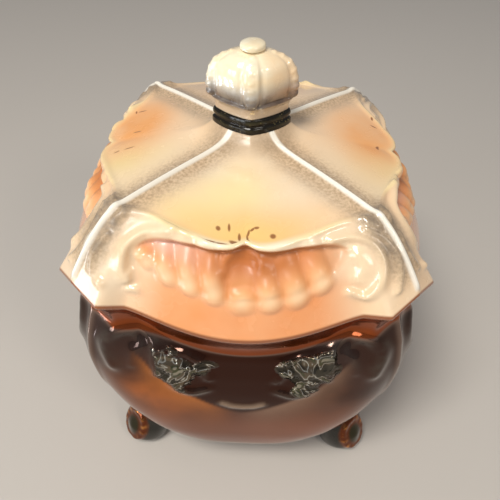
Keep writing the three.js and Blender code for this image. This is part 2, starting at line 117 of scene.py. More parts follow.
# corner, side and height as shares of the bowl's, and how much of the edge's wave
bowl_rows = np.array([
    (0.541, 0.66, 0.076, 0), (0.595, 0.736, 0.085, 0), (0.667, 0.839, 0.113, 0),
    (0.748, 0.923, 0.17, 0), (0.82, 0.972, 0.246, 0), (0.888, 0.994, 0.34, 0),
    (0.951, 1, 0.454, 0), (0.989, 0.997, 0.567, 0.02), (1, 0.979, 0.681, 0.12),
    (0.977, 0.954, 0.794, 0.4), (0.928, 0.939, 0.896, 1), (0.935, 0.96, 0.95, 1),
    (0.966, 1.002, 1, 1)])
# the same for the hollow, with the wall it stands in by
hollow_rows = np.array([
    (0.978, 1.002, 1, 1, 1), (0.935, 0.939, 0.907, 1, 0.93), (0.985, 0.96, 0.756, 0.3, 0.95),
    (0.989, 0.997, 0.567, 0, 1), (0.9, 0.994, 0.359, 0, 0.95), (0.8, 0.965, 0.227, 0, 0.9),
    (0.717, 0.894, 0.147, 0, 1.5), (0.68, 0.85, 0.118, 0, 2.4)])
dark_brown = (0.045, 0.014, 0.006)
band_brown = (0.300, 0.062, 0.010)
reflection_rose = (0.270, 0.095, 0.050)
grey_mauve = (0.060, 0.036, 0.032)
pale_highlight = (0.50, 0.36, 0.29)
inner_white = (0.80, 0.74, 0.64)


def blend(a, b, share):
    return a + (b - a) * share


def rise(low, high, value):
    share = np.clip((value - low) / (high - low), 0, 1)
    return share * share * (3 - 2 * share)


def hump(value, middle, width):
    return np.exp(-(((value - middle) / width) ** 2))


def across_side(columns):
    """Places across a side from ridge to ridge, closer together near the ridges."""
    even = np.linspace(-1, 1, columns, endpoint=False)
    return 1.3 * even - 0.3 * even ** 3


def edge_ring(t, corner, side, height, waved, power):
    """One side of a ring, between its plain rounded square and the waved outline of the edge."""
    away = np.abs(t)
    bulge = np.maximum(0, 1 - (t / 0.7) ** 2) ** 1.3
    out = np.minimum(1, (1 - away) / 0.16)
    coved = 1 - rise(0.68, 0.84, away)
    tip = blend(corner, side, (rim_tip - rim_corner) / (rim_side - rim_corner))
    sharp = blend(blend(corner, tip, out) - cove_depth * coved, side, bulge)
    plain = blend(corner, side, 1 - away ** power)
    wave = corner_lift * (1 - out) - blend(cove_depth * coved, side_dip, bulge)
    return t * corner, blend(plain, sharp, waved), height + waved * wave


def all_round(ring):
    """A ring, or a band of rings, of all four sides. The ring is given for one side by number."""
    return np.concatenate([turned(*ring(side), side) for side in range(4)], axis=-2)


def curve_through(rows, wanted, key):
    """Rows between the given ones, on a smooth curve that does not overshoot them."""
    x = rows[:, key]
    order = np.argsort(x)
    x, y = x[order], rows[order]
    gaps = np.diff(x)[:, None]
    slopes = np.diff(y, axis=0) / gaps
    mean = np.zeros_like(y)
    mean[1:-1] = np.where(
        slopes[:-1] * slopes[1:] > 0,
        2 * slopes[:-1] * slopes[1:] / (slopes[:-1] + slopes[1:] + 1e-12), 0)
    mean[0], mean[-1] = slopes[0], slopes[-1]
    i = np.clip(np.searchsorted(x, wanted, side="right") - 1, 0, len(x) - 2)
    s = ((wanted - x[i]) / (x[i + 1] - x[i]))[:, None]
    h = (x[i + 1] - x[i])[:, None]
    return (y[i] * (1 + 2 * s) * (1 - s) ** 2 + y[i + 1] * s * s * (3 - 2 * s)
            + h * mean[i] * s * (1 - s) ** 2 - h * mean[i + 1] * s * s * (1 - s))


def turned(x, y, z, side):
    a, b = ((x, -y), (y, x), (-x, y), (-y, -x))[side]
    return np.stack([a, b, z], axis=-1)


def facing(grid):
    """Outward directions of a closed band of rings that runs from the top down."""
    along = np.roll(grid, -1, axis=1) - np.roll(grid, 1, axis=1)
    fall = np.gradient(grid, axis=0)
    normal = np.cross(fall, along)
    return normal / np.maximum(np.linalg.norm(normal, axis=-1, keepdims=True), 1e-9)


def rounded(path):
    """The path with four more points on each leg, on a smooth curve through its own."""
    p = np.array([path[0], *path, path[-1]], float)
    s = np.linspace(0, 1, 5, endpoint=False)[:, None]
    legs = [0.5 * (2 * p[i] + (p[i + 1] - p[i - 1]) * s
                   + (2 * p[i - 1] - 5 * p[i] + 4 * p[i + 1] - p[i + 2]) * s ** 2
                   + (3 * p[i] - p[i - 1] - 3 * p[i + 1] + p[i + 2]) * s ** 3)
            for i in range(1, len(p) - 2)]
    return [*np.concatenate(legs), p[-1]]


def path_near(a, b, path):
    """Distance to a path and the share of the way along it, for every place (a, b)."""
    best = np.full(a.shape, 1e9)
    share = np.zeros(a.shape)
    legs = [math.dist(p, q) for p, q in zip(path, path[1:])]
    gone = 0.0
    for (p, q), leg in zip(zip(path, path[1:]), legs):
        s = ((a - p[0]) * (q[0] - p[0]) + (b - p[1]) * (q[1] - p[1])) / max(leg, 1e-9) ** 2
        s = np.clip(s, 0, 1)
        far = np.hypot(a - p[0] - s * (q[0] - p[0]), b - p[1] - s * (q[1] - p[1]))
        nearer = far < best
        best = np.where(nearer, far, best)
        share = np.where(nearer, (gone + s * leg) / sum(legs), share)
        gone += leg
    return best, share


def shell_mesh(name, grid, first_pole, last_pole, masks):
    """One closed mesh from rings in millimetres, closed by two poles or back on itself."""
    rows, columns = grid.shape[:2]
    points = grid.reshape(-1, 3)
    joined = rows - 1 if first_pole is not None else rows
    row = np.arange(joined)[:, None]
    i = np.arange(columns)[None, :]
    here, after = row * columns + i, row * columns + (i + 1) % columns
    below = (row + 1) % rows * columns
    under, under_after = below + i, below + (i + 1) % columns
    faces = np.stack([here, under, under_after, after], axis=-1).reshape(-1, 4).tolist()
    if first_pole is not None:
        points = np.vstack([points, first_pole, last_pole])
        last = (rows - 1) * columns
        for k in range(columns):
            follows = (k + 1) % columns
            faces.append((len(points) - 2, k, follows))
            faces.append((len(points) - 1, last + follows, last + k))
    mesh = bpy.data.meshes.new(name)
    mesh.from_pydata((points * mm).tolist(), [], faces)
    # a mesh that came out inside out is turned outward
    closed = bmesh.new()
    closed.from_mesh(mesh)
    if closed.calc_volume(signed=True) < 0:
        mesh.flip_normals()
    closed.free()
    for label, values in masks.items():
        flat = values.reshape(-1)
        if first_pole is not None:
            flat = np.append(flat, [values[0].mean(), values[-1].mean()])
        layer = mesh.attributes.new(label, "FLOAT", "POINT")
        layer.data.foreach_set("value", flat.astype(np.float32))
    mesh.shade_smooth()
    made = bpy.data.objects.new(name, mesh)
    scene.collection.objects.link(made)
    return made


def glaze(name, roughness, coat_roughness, metallic, **settings):
    """A glossy finish. Further settings are named as on the shader, with _ for each space."""
    finish = bpy.data.materials.new(name)
    finish.use_nodes = True
    shader = finish.node_tree.nodes["Principled BSDF"]
    settings = {"Metallic": metallic, "Roughness": roughness, "Coat_Weight": 1.0,
                "Coat_Roughness": coat_roughness, **settings}
    for key, value in settings.items():
        shader.inputs[key.replace("_", " ")].default_value = value
    return finish


def put(finish, kind, settings, **plugs):
    """Adds a node: plugs are values or sockets, named as on the node or by number as n0, n1."""
    made = finish.node_tree.nodes.new(kind)
    for key, value in settings.items():
        setattr(made, key, value)
    for key, value in plugs.items():
        socket = made.inputs[int(key[1:])] if key[1:].isdigit() else made.inputs[key]
        if isinstance(value, bpy.types.NodeSocket):
            finish.node_tree.links.new(value, socket)
        else:
            socket.default_value = value
    return made


def plug(finish, socket, *names):
    shader = finish.node_tree.nodes["Principled BSDF"]
    for name in names:
        finish.node_tree.links.new(socket, shader.inputs[name])


def mask(finish, label):
    return put(finish, "ShaderNodeAttribute", {"attribute_name": label}).outputs["Fac"]


def place_on(finish):
    return put(finish, "ShaderNodeTexCoord", {}).outputs["Object"]


def worked(finish, operation, *values):
    """The result of a sum with values or sockets."""
    numbered = {f"n{i}": value for i, value in enumerate(values)}
    return put(finish, "ShaderNodeMath", {"operation": operation}, **numbered).outputs[0]


def times(finish, a, b):
    return worked(finish, "MULTIPLY", a, b)


def ranged(finish, value, start, end, low=0.0, high=1.0, kind="LINEAR"):
    """The value carried from start and end to low and high, and held there beyond them."""
    ends = {"From Min": start, "From Max": end, "To Min": low, "To Max": high}
    made = put(finish, "ShaderNodeMapRange", {"interpolation_type": kind}, Value=value, **ends)
    return made.outputs["Result"]


def clouds(finish, size, low, high, detail=3.0):
    """Soft noise of that size in metres, between two values."""
    noise = put(finish, "ShaderNodeTexNoise", {}, Vector=place_on(finish), Scale=1 / size,
                Detail=detail)
    return ranged(finish, noise.outputs["Fac"], 0.35, 0.65, low, high)


def coats(finish, skin, *layers):
    """Lays colours one over another. Each has a share, which is a number, a socket or the name
    of a mask, and may have a factor for it, which is a number or the sizes of clouds."""
    for colour, share, *factor in layers:
        if isinstance(share, str):
            share = mask(finish, share)
        for part in factor:
            uneven = clouds(finish, *part) if isinstance(part, tuple) else part
            share = times(finish, share, uneven)
        mixed = put(finish, "ShaderNodeMix", {"data_type": "RGBA"}, n0=share, n6=skin,
                    n7=(*colour, 1))
        skin = mixed.outputs[2]
    return skin


def fire(finish, skin, roughness, size, depth):
    """Joins the colour and the roughness to the finish, with the faint ripple of a fired glaze."""
    plug(finish, skin, "Base Color")
    plug(finish, roughness, "Roughness")
    noise = put(finish, "ShaderNodeTexNoise", {}, Vector=place_on(finish), Scale=1 / size,
                Detail=2.0)
    bumped = put(finish, "ShaderNodeBump", {}, Height=noise.outputs["Fac"], Distance=depth,
                 Strength=1.0).outputs["Normal"]
    plug(finish, bumped, "Normal", "Coat Normal")
    return bumped


def bowl_ring(t, row):
    corner, side, height, waved = row[:4]
    wall = bowl_wall * row[4] if len(row) == 5 else 0.0
    power = blend(2.3, 6.0, rise(0.05, 0.5, height))
    return edge_ring(t, corner * bowl_corner - wall, side * bowl_side - wall,
                     height * bowl_rim, waved, power)


columns = 96
t = across_side(columns)
outer_heights = np.linspace(1, bowl_rows[0, 2], 110)
outer_rows = curve_through(bowl_rows, outer_heights, 2)
outside = np.stack([all_round(lambda side: bowl_ring(t, row)) for row in outer_rows])
place_across = np.tile(t, 4)[None, :] * np.ones((len(outer_rows), 1))
place_height = outer_heights[:, None] * np.ones((1, 4 * columns)) * bowl_rim
off_middle = np.abs(place_across)
# scroll on each half side: paths in millimetres, across from the middle and up from the table
scroll_paths = [
    ([(46, 76), (49, 83), (47, 90), (41, 93), (35, 92), (31.5, 87), (31, 81), (30, 75)], 2.6, 1.5),
    ([(39.5, 77.6), (39, 82.5), (36.5, 87), (41, 91)], 1.7, 0.9),
    ([(30, 90), (26, 86), (21, 88), (16, 84)], 2.3, 1.0),
    ([(28, 80), (23, 76), (25, 70), (19, 66), (13, 68)], 2.4, 1.2),
    ([(21, 80), (15, 78), (12, 74)], 2.0, 1.0),
]
raised = np.zeros(place_height.shape)
for path, radius, height in scroll_paths:
    far, share = path_near(off_middle * bowl_corner, place_height, rounded(path))
    raised += height * hump(far, 0, radius * (1.15 - 0.5 * share))
# a small raised crescent closes the middle field below; its pale colour is a painted highlight
crescent_path = [(0, 57.6), (4, 58.0), (7.2, 59.6)]
crescent = hump(path_near(off_middle * bowl_corner, place_height, crescent_path)[0], 0, 1.3)
raised += 0.7 * crescent
# a raised arris on each corner, whose pale colour is a painted highlight
arris = hump(off_middle, 1, 0.022) * rise(0.2, 0.5, place_height / bowl_rim)
outside += facing(outside) * (raised + 0.6 * arris)[..., None]
inside_rows = curve_through(hollow_rows, np.linspace(hollow_rows[-1, 2], 1, 36), 2)[::-1]
inside = np.stack([all_round(lambda side: bowl_ring(t, row)) for row in inside_rows])
below_rim = bowl_rim - place_height
band_deep = 13.6
leaf = (hump(off_middle, 0.40, 0.21) * hump(place_height, 78, 13)
        * (1 - rise(88, 93, place_height)))
# a pale sweep curves like a garland under the leaves, orange to the left, grey to the right:
# a painted reflection
under_sweep = 53.5 + 52 * off_middle ** 1.55 - place_height
sweep = (rise(-1.2, 1.6, under_sweep) * np.exp(-np.maximum(0, under_sweep) / 9)
         * (1 - rise(0.58, 0.74, off_middle)))
grid = np.concatenate([outside[::-1], inside])
blank = np.zeros(inside.shape[:2])


def on_bowl(values):
    return np.concatenate([values[::-1], blank])


bowl = shell_mesh("bowl", grid, (0, 0, bowl_lift), (0, 0, bowl_lift + bowl_floor), {
    "band": on_bowl(1 - rise(band_deep - 1, band_deep + 0.2, below_rim)),
    # painted highlight along the foot of the band
    "band_line": on_bowl(hump(below_rim, band_deep, 0.6)),
    "raised": on_bowl(np.clip(raised / 1.6, 0, 1)),
    "leaf": on_bowl(leaf),
    "ground": on_bowl(rise(-1.6, 1.2, -under_sweep) * (1 - rise(0.3, 0.66, off_middle))),
    "sweep_left": on_bowl(sweep * rise(0.02, 0.3, -place_across)),
    "sweep_right": on_bowl(sweep * rise(-0.1, 0.25, place_across)),
    "crescent": on_bowl(crescent),
    "arris": on_bowl(arris),
    # painted reflection: rose-brown on the lower belly
    "lower": on_bowl((1 - rise(40, 66, place_height)) * rise(8, 14, place_height)),
    # painted highlight along the lower edge of the bulge
    "foot_line": on_bowl(hump(place_height, 10.5, 1.2)),
    # painted reflection: an orange glow on the sides, stronger on the left half
    "glow": on_bowl(hump(off_middle, 0.62, 0.25) * hump(place_height, 60, 13)
                    * blend(0.25, 1.0, rise(-0.1, 0.1, -place_across))),
    "inside": np.concatenate([np.zeros(outside.shape[:2]), np.ones(blank.shape)]),
})
bowl_metal = 0.78
bowl_lustre = glaze("brown_pearl_lustre", 0.16, 0.05, bowl_metal, Coat_Weight=0.1, Coat_IOR=1.4)
# leaves with a ragged edge, veined in dark olive and pale pearl as on marbled paper
veins = put(bowl_lustre, "ShaderNodeTexNoise", {}, Vector=place_on(bowl_lustre),
            Scale=68.0, Detail=2.0, Distortion=2.6).outputs["Fac"]
ragged = worked(bowl_lustre, "ADD", mask(bowl_lustre, "leaf"),
                clouds(bowl_lustre, 0.012, -0.28, 0.28))
leaf_there = ranged(bowl_lustre, ragged, 0.48, 0.62, 0.0, 0.9)


def vein_between(low, high):
    return ranged(bowl_lustre, veins, low, high, kind="SMOOTHSTEP")


def on_leaf(share):
    return times(bowl_lustre, share, leaf_there)


skin = coats(
    bowl_lustre, (*dark_brown, 1),
    (grey_mauve, clouds(bowl_lustre, 0.03, 0.0, 0.9)),
    # painted reflections: rose-brown low on the belly and an orange glow on the sides
    (reflection_rose, "lower", (0.05, 0.55, 1.0)),
    ((0.62, 0.18, 0.04), "glow", (0.02, 0.2, 0.85)),
    ((0.040, 0.010, 0.004), "ground"),
    # painted reflection in the pale sweep
    ((0.66, 0.22, 0.05), "sweep_left", (0.02, 0.6, 0.95)),
    ((0.36, 0.22, 0.15), "sweep_right", (0.02, 0.6, 0.95)),
    ((0.15, 0.115, 0.075), leaf_there),
    ((0.022, 0.020, 0.013), on_leaf(vein_between(0.47, 0.43))),
    ((0.07, 0.075, 0.035), on_leaf(vein_between(0.54, 0.56))),
    ((0.34, 0.31, 0.24), on_leaf(vein_between(0.60, 0.63))),
    ((0.55, 0.55, 0.50), on_leaf(times(
        bowl_lustre, vein_between(0.465, 0.48), vein_between(0.505, 0.49)))),
    ((0.13, 0.12, 0.10), "raised", (0.006, 0.0, 0.5)),
    # painted highlight on the raised crescent
    ((0.52, 0.38, 0.28), "crescent", 0.7),
    # painted highlights: pale lines on the arrises, the foot of the band and the lower edge
    (pale_highlight, "arris", 0.35),
    (band_brown, "band", (0.015, 0.8, 1.0)),
    (pale_highlight, "band_line", 0.3),
    (pale_highlight, "foot_line", 0.5),
    (inner_white, "inside"))
rippled = fire(bowl_lustre, skin, clouds(bowl_lustre, 0.012, 0.08, 0.16), 0.011, 0.00006)
plug(bowl_lustre, worked(bowl_lustre, "MULTIPLY_ADD", mask(bowl_lustre, "inside"),
                         -bowl_metal, bowl_metal), "Metallic")
# the veins stand up a little from the leaves
lumps = put(bowl_lustre, "ShaderNodeBump", {}, Distance=0.0022, Strength=1.0,
            Height=on_leaf(veins), Normal=rippled)
plug(bowl_lustre, lumps.outputs["Normal"], "Normal", "Coat Normal")
bowl.data.materials.append(bowl_lustre)
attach(bowl, "box")
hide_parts("box_bowl")

# Feet
# Four stub feet under the corners, pressed in a mould and luted to the bowl. Each has an oval
# gilt cartouche with a beaded edge on its outer face, and plain glaze round it. The whole foot
# is painted dark: painted shade under the bowl.
foot_reach, foot_length, foot_width, foot_height = 62.8, 10.0, 10.2, 27.0
# reach, length and width as shares of the foot's, and height
foot_rows = np.array([
    (0.975, 0.72, 0.7, 0), (0.985, 0.9, 0.86, 0.055), (1, 1, 0.96, 0.2), (0.99, 0.97, 1, 0.38),
    (0.965, 0.88, 1, 0.56), (0.94, 0.76, 0.92, 0.75), (0.92, 0.55, 0.7, 0.93),
    (0.915, 0.3, 0.4, 1)])
foot_gilt = glaze("foot_gilt", 0.2, 0.05, 0.0, Coat_Weight=0.3, Specular_IOR_Level=0.25)
# dark all over, glaze and gilt alike: painted shade
skin = coats(
    foot_gilt, (0.022, 0.020, 0.015, 1),
    ((0.010, 0.009, 0.006), clouds(foot_gilt, 0.006, 0, 1)),
    ((0.15, 0.034, 0.006), "gilt"),
    ((0.035, 0.030, 0.012), "centre"),
    ((0.70, 0.30, 0.08), "beads", (0.003, -0.3, 0.9)))
fire(foot_gilt, skin, clouds(foot_gilt, 0.004, 0.08, 0.2), 0.006, 0.00006)
plug(foot_gilt, times(foot_gilt, mask(foot_gilt, "gilt"), 0.9), "Metallic")
block_rows = outside[::-1][: int(len(outside) * 0.7)]
block = shell_mesh("bowl_block", block_rows, (0, 0, bowl_lift),
                   (0, 0, float(block_rows[-1, :, 2].mean())), {})
foot_sides, bead_count = 96, 11
oval_middle, oval_wide, oval_high = 11.5, 6.2, 8.0
angle = np.linspace(0, 2 * math.pi, foot_sides, endpoint=False)
shape = curve_through(foot_rows, np.linspace(0, 1, 90), 3)
off = shape[:, 2:3] * foot_width * np.sin(angle)
up = shape[:, 3:4] * foot_height * np.ones((1, foot_sides))
outer_face = rise(0.1, 0.5, np.cos(angle))[None, :] * np.ones(up.shape)
oval = np.hypot(off / oval_wide, (up - oval_middle) / oval_high)
spokes = 0.5 + 0.5 * np.cos(bead_count * np.arctan2(off, up - oval_middle))
edge = hump(oval, 0.95, 0.17) * outer_face
lift = 0.9 * edge * (0.85 + 0.15 * spokes) + 0.5 * hump(oval, 0, 0.4) * outer_face
far = (shape[:, :1] * foot_reach + shape[:, 1:2] * foot_length * np.cos(angle)
       + lift * np.cos(angle))
off = off + lift * np.sin(angle)
sole, crown = foot_rows[0, 0] * foot_reach, foot_rows[-1, 0] * foot_reach
for name, turn in (
        ("front_right", -45), ("back_right", 45), ("back_left", 135), ("front_left", 225)):
    c, s = math.cos(math.radians(turn)), math.sin(math.radians(turn))
    lug = np.stack([c * far - s * off, s * far + c * off, up], axis=-1)
    foot = shell_mesh("foot_" + name + "_glazed", lug, (c * sole, s * sole, 0),
                      (c * crown, s * crown, foot_height), {
        "gilt": (1 - rise(1.1, 1.3, oval)) * outer_face,
        "centre": (1 - rise(0.45, 0.72, oval)) * outer_face,
        "beads": edge * rise(0.3, 0.98, spokes),
    })
    cut = foot.modifiers.new("fit", "BOOLEAN")
    cut.operation, cut.object, cut.solver = "DIFFERENCE", block, "EXACT"
    fitted = bpy.data.meshes.new_from_object(
        foot.evaluated_get(bpy.context.evaluated_depsgraph_get()))
    foot.modifiers.clear()
    foot.data = fitted
    fitted.materials.clear()
    fitted.materials.append(foot_gilt)
    fitted.shade_smooth()
    fitted.set_sharp_from_angle(angle=math.radians(50))
    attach(foot, "box")
    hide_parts("foot_" + name)
bpy.data.objects.remove(block)

# Lid
# Square domed lid, slip-cast, with a raised white ridge on each diagonal. Each side has a wavy
# rolled lip over a sunk shell of round flutes between scrolls. A brown line runs round the edge.
lid_rim, lid_edge, lip_rise = 108.3, 2.2, 22.7
roof_rise, collar_rise, roof_sag, lid_wall = 3.6, 4.4, 4.0, 5.5
lip_side, lip_corner = 52.0, 40.5
lip_height = lid_rim + lip_rise
apex = lip_height + roof_rise + collar_rise
plinth_wide, plinth_deep = 13.8, 10.0
lid_hollow = np.array([
    (0.285, 0.284, 0.991, 0), (0.57, 0.556, 0.95, 0), (0.792, 0.779, 0.86, 0),
    (0.885, 0.884, 0.61, 0.3), (0.941, 0.939, 0.35, 0.6), (0.987, 0.986, 0.125, 0.8),
    (1, 1, 0, 1)])
mouth_corner = bowl_corner * 0.935 - bowl_wall * 0.93 - 0.4
mouth_side = bowl_side * 0.939 - bowl_wall * 0.93 - 0.4
flange_wall = 3.0
lid_square = 5.0
cream = (0.92, 0.66, 0.41)
yellow = (0.93, 0.79, 0.40)
orange = (0.93, 0.42, 0.13)
sand = (0.46, 0.32, 0.19)
ridge_white = (0.93, 0.87, 0.75)
shaded_amber = (0.50, 0.155, 0.036)
mauve = (0.82, 0.52, 0.42)
peach = (0.90, 0.34, 0.115)
line_brown = (0.30, 0.09, 0.025)
corner_grey = (0.36, 0.26, 0.17)


def lip_wave(t):
    away = np.abs(t)
    swell = hump(away, 0.2, 0.16) - 0.6 * hump(away, 0.72, 0.17)
    return 1.7 * swell - 1.6 * hump(away, 0, 0.06)


def roof_point(t, down, side):
    start = plinth_deep * 0.65
    x = t * blend(start, lip_corner, down)
    lip_y = blend(lip_corner, lip_side, (1 - t * t) ** 1.5)
    y = blend(start, lip_y, down) + lip_wave(t) * down ** 4
    dome = roof_rise * (1 - (np.hypot(x, y) / (lip_corner * math.sqrt(2))) ** 2.2)
    sag = roof_sag * np.maximum(0, 1 - t ** 2) ** 1.5 * down ** 2
    wide, deep = (x, y) if side % 2 == 0 else (y, x)
    gap = (np.abs(wide / plinth_wide) ** 1.4 + np.abs(deep / plinth_deep) ** 1.4) ** (1 / 1.4) - 1
    flare = np.exp(-np.maximum(0, gap) * plinth_deep / 3.0)
    return x, y, blend(lip_height + dome - sag, apex, flare)


def apron_point(t, down, side):
    middle = 1 - rise(0.62, 1, np.abs(t))
    out = down ** blend(0.68, 0.85, middle)
    lip = roof_point(t, 1.0, side)
    edge = edge_ring(t, rim_corner, rim_side, lid_rim, 1, lid_square)
    return (blend(lip[0], edge[0], out), blend(lip[1], edge[1], out), blend(lip[2], edge[2], down))


# ornaments of a shell, on the apron: across in shares of half a side, down in shares of its fall
flutes = [
    ((-0.70, 0.30), (-0.63, 0.40), 3.3), ((-0.60, 0.17), (-0.487, 0.475), 3.4),
    ((-0.455, 0.08), (-0.344, 0.475), 3.7), ((-0.29, 0.08), (-0.186, 0.49), 4.0),
    ((-0.013, 0.40), (-0.009, 0.565), 4.5), ((0.146, 0.27), (0.165, 0.54), 4.4),
    ((0.31, 0.20), (0.332, 0.55), 4.3), ((0.466, 0.15), (0.487, 0.49), 4.0),
]
scrolls = [
    ([(-0.53, 0.03), (-0.63, 0.088), (-0.742, 0.19), (-0.792, 0.32), (-0.785, 0.48),
      (-0.75, 0.63)], 2.9, 2.1),
    ([(-0.74, 0.61), (-0.726, 0.65)], 3.6, 2.3),
    ([(-0.69, 0.76), (-0.66, 0.755)], 2.6, 1.6),
    ([(-0.863, 0.733), (-0.859, 0.752)], 2.2, 1.3),
    ([(-0.923, 0.067), (-0.911, 0.05)], 2.8, 1.3),
    ([(-0.924, 0.248), (-0.948, 0.496), (-0.921, 0.702)], 1.7, 0.9),
    ([(0.60, 0.11), (0.70, 0.13), (0.79, 0.155), (0.857, 0.23), (0.872, 0.425), (0.822, 0.625),
      (0.73, 0.772), (0.646, 0.69)], 2.3, 1.6),
    ([(0.745, 0.325), (0.76, 0.445), (0.715, 0.56)], 4.2, 1.5),
    ([(0.849, 0.088), (0.924, 0.183), (0.959, 0.383), (0.943, 0.592), (0.901, 0.775)], 1.9, 1.3),
    ([(0.876, 0.046), (0.923, 0.067)], 2.8, 1.4),
    ([(0.107, 0.17), (0.066, 0.10), (-0.013, 0.085), (-0.09, 0.10), (-0.137, 0.16),
      (-0.146, 0.26)], 3.2, 1.0),
]
a_scale, b_scale = 51.15, 30.9


def shell_ends(t):
    """Where the sunk shell begins under the lip and where it ends."""
    away = np.abs(t)
    return (0.015 + 0.3 * away ** 2 + 0.25 * (away / 0.8) ** 10,
            0.62 - np.where(t > 0, 1.3 * away ** 4, 0.5 * away ** 2))


def apron_relief(t, down):
    """Everything raised or sunk on the apron, and the masks its colours follow."""
    top, foot = shell_ends(t)
    shell = (rise(0, 0.05, down - top) * (1 - rise(-0.12, 0.02, down - foot))
             * (1 - rise(0.72, 0.79, np.abs(t))))
    depth = blend(3.4, 0.6, rise(0.1, 1.0, down / np.maximum(foot, 0.1)))
    crest = np.zeros(np.broadcast(t, down).shape)
    tip = np.zeros(crest.shape)
    for head, toe, radius in flutes:
        far, share = path_near(t * a_scale, down * b_scale, [
            (head[0] * a_scale, head[1] * b_scale), (toe[0] * a_scale, toe[1] * b_scale)])
        round_rib = np.clip(1 - (far / (1.15 * radius)) ** 2, 0, 1)
        crest = np.maximum(crest, round_rib * blend(0.45, 1.0, rise(0, 0.6, share))
                           * (1 - 0.3 * rise(0.7, 1.0, share)))
        tip = np.maximum(tip, round_rib ** 3 * rise(0.4, 0.95, share))
    carved = np.zeros(crest.shape)
    for path, radius, height in scrolls:
        far, share = path_near(
            t * a_scale, down * b_scale, rounded([(p[0] * a_scale, p[1] * b_scale) for p in path]))
        carved = np.maximum(carved, height * hump(far, 0, radius * 0.62))
    lip = hump(down, 0, 0.03) * np.ones(crest.shape)
    body = -depth * shell * (1 - 0.1 * crest) + 2.2 * crest + carved * (1 - 0.8 * crest)
    return body + 0.5 * lip, shell, crest, tip, np.clip(carved / 1.5, 0, 1)


columns = 124
t = across_side(columns)[None, :]
roof_down = np.concatenate([np.linspace(0, 0.3, 18, endpoint=False),
                            np.linspace(0.3, 0.9, 26, endpoint=False),
                            np.linspace(0.9, 1.0, 10, endpoint=False)])[:, None]
apron_down = np.concatenate([np.linspace(0.0, 0.2, 22, endpoint=False),
                             np.linspace(0.2, 1.0, 60)])[:, None]


def lid_side(side):
    roof = np.broadcast_arrays(*roof_point(t, roof_down, side))
    apron = np.broadcast_arrays(*apron_point(t, apron_down, side))
    return [np.concatenate(pair) for pair in zip(roof, apron)]


skin_grid = all_round(lid_side)
normal = facing(skin_grid)
n_roof = len(roof_down)
rows = len(skin_grid)
relief, shell, crest, tip, carved = (np.tile(v, (1, 4)) for v in apron_relief(t, apron_down))
fade = 1 - rise(0.93, 1.0, apron_down)
from_ridge = np.abs(np.abs(skin_grid[..., 0]) - np.abs(skin_grid[..., 1])) / math.sqrt(2)
roof_d = np.tile(roof_down, (1, 4 * columns))
push = np.zeros((rows, 4 * columns))
push[n_roof:] = relief * fade
push[:n_roof] = 0.5 * hump(roof_d, 1, 0.03)
ridge_line = hump(from_ridge, 0, 0.95)
ridge_line[:n_roof] *= rise(0.05, 0.14, roof_d)
valley = hump(from_ridge, 4.5, 3.0)
valley[:n_roof] *= rise(0.12, 0.35, roof_d) * (1 - rise(0.9, 1, roof_d))
valley[n_roof:] = 0
ridge_fade = np.ones((rows, 1))
ridge_fade[n_roof:] = 1 - rise(0.85, 1.0, apron_down)
push += ridge_line * ridge_fade - 0.45 * valley
skin_grid = skin_grid + normal * push[..., None]
# the edge rolls under to the seat, and the hollow follows
edge_rows = []
for drop, inward in ((0.5, -0.15), (1.1, -0.1), (1.7, 0.15), (lid_edge, 0.7)):
    edge_rows.append(all_round(lambda side: edge_ring(
        t[0], rim_corner - inward, rim_side - inward, lid_rim - drop, 1, lid_square)))
hollow = curve_through(lid_hollow, np.linspace(0, 0.991, 26), 2)
seat = lid_rim - lid_edge
hollow_rise = lip_height + roof_rise - lid_wall - seat
hollow_grid = np.stack([all_round(lambda side: edge_ring(
    t[0], row[0] * (mouth_corner - flange_wall), row[1] * (mouth_side - flange_wall),
    seat + row[2] * hollow_rise, row[3], lid_square)) for row in hollow])
grid = np.concatenate([skin_grid, np.stack(edge_rows), hollow_grid])
rest = len(grid) - rows


def on_lid(roof_values, apron_values, edge_value=0.0):
    full = np.concatenate([np.broadcast_to(roof_values, (n_roof, 4 * columns)),
                           np.broadcast_to(apron_values, (rows - n_roof, 4 * columns))])
    tail = np.zeros((rest, 4 * columns))
    tail[: len(edge_rows)] = edge_value
    return np.concatenate([full, tail])


t4 = np.tile(t, (1, 4))
away = np.abs(t4)
ad = apron_down
roof_off, apron_off = from_ridge[:n_roof], from_ridge[n_roof:]
side_of = np.repeat([0, 1, 2, 3], columns)[None, :]
no_roof, no_apron = np.zeros((n_roof, 4 * columns)), np.zeros((rows - n_roof, 4 * columns))
top, foot = shell_ends(t4)
down_shell = ad / np.maximum(foot, 0.1)
mid_lip = 1 - rise(0.6, 0.85, away)
lip_glint = hump(away, 0.22, 0.13) * (side_of == 0)


def sprayed(side, strength, middle, wide, low, long):
    """A soft patch on one roof panel: its place and spread across, and down the panel."""
    return (side_of == side) * strength * hump(t4, middle, wide) * hump(roof_down, low, long)


